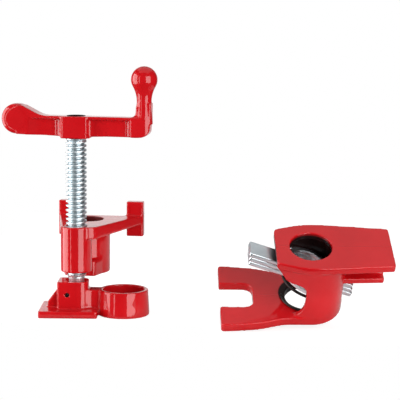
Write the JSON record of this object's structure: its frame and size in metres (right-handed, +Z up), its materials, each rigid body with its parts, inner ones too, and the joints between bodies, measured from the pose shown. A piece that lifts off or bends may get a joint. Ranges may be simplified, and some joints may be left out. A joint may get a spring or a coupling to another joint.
{
  "type": "pipe clamp",
  "caption": "Pipe clamp fixtures: a cast head with crank screw and sliding jaw, and a quick-release tail stop with tilting clutch discs.",
  "frame": {"origin": "axis of the sliding jaw's pipe ring, at the clamping face that the head unit stands on", "axes": "+Z up along the screw and away from the clamping face, +X from the screw's axis towards the ring and the tail stop, +Y away from the viewer"},
  "size_m": [0.2583, 0.1267, 0.1683],
  "materials": {
    "red_paint": "glossy red paint on cast iron",
    "zinc": "bright zinc plating",
    "spring_steel": "dark oiled spring steel"
  },
  "bodies": {
    "fixtures": {"sliding_jaw": "red_paint", "roll_pin": "zinc", "tail_casting": "red_paint", "clutch_spring": "spring_steel"},
    "head": {"head_casting": "red_paint"},
    "spindle": {"screw": "zinc", "crank_handle": "red_paint"},
    "disc_top": {"clutch_disc_top": "zinc"},
    "disc_middle": {"clutch_disc_middle": "zinc"},
    "disc_bottom": {"clutch_disc_bottom": "zinc"}
  },
  "joints": [
    {"name": "screw_turn", "type": "hinge", "parent": "fixtures", "child": "spindle", "pos_m": [-0.032, 0, 0.06], "axis": [0, 0, -1], "range_deg": [-720, 6840]},
    {"name": "head_travel", "type": "slide", "parent": "fixtures", "child": "head", "axis": [0, 0, 1], "range_m": [-0.00605, 0.05705]},
    {"name": "clutch_tilt_top", "type": "hinge", "parent": "fixtures", "child": "disc_top", "pos_m": [0.15149, -0.03053, 0.03151], "axis": [0.0373, -0.8687, -0.4939], "range_deg": [0, 18], "stiffness_Nm_per_rad": 0.4, "springref_deg": -20.05, "deforming": ["clutch_spring"]},
    {"name": "clutch_tilt_middle", "type": "hinge", "parent": "fixtures", "child": "disc_middle", "pos_m": [0.15149, -0.03053, 0.03151], "axis": [0.0373, -0.8687, -0.4939], "range_deg": [-0.1, 18.1]},
    {"name": "clutch_tilt_bottom", "type": "hinge", "parent": "fixtures", "child": "disc_bottom", "pos_m": [0.15149, -0.03053, 0.03151], "axis": [0.0373, -0.8687, -0.4939], "range_deg": [-0.1, 18.1]}
  ],
  "couplings": [
    {"joint": "head_travel", "follows": "screw_turn", "m_per_rad": 0.00047746},
    {"joint": "clutch_tilt_middle", "follows": "clutch_tilt_top", "ratio": 1},
    {"joint": "clutch_tilt_bottom", "follows": "clutch_tilt_top", "ratio": 1}
  ]
}
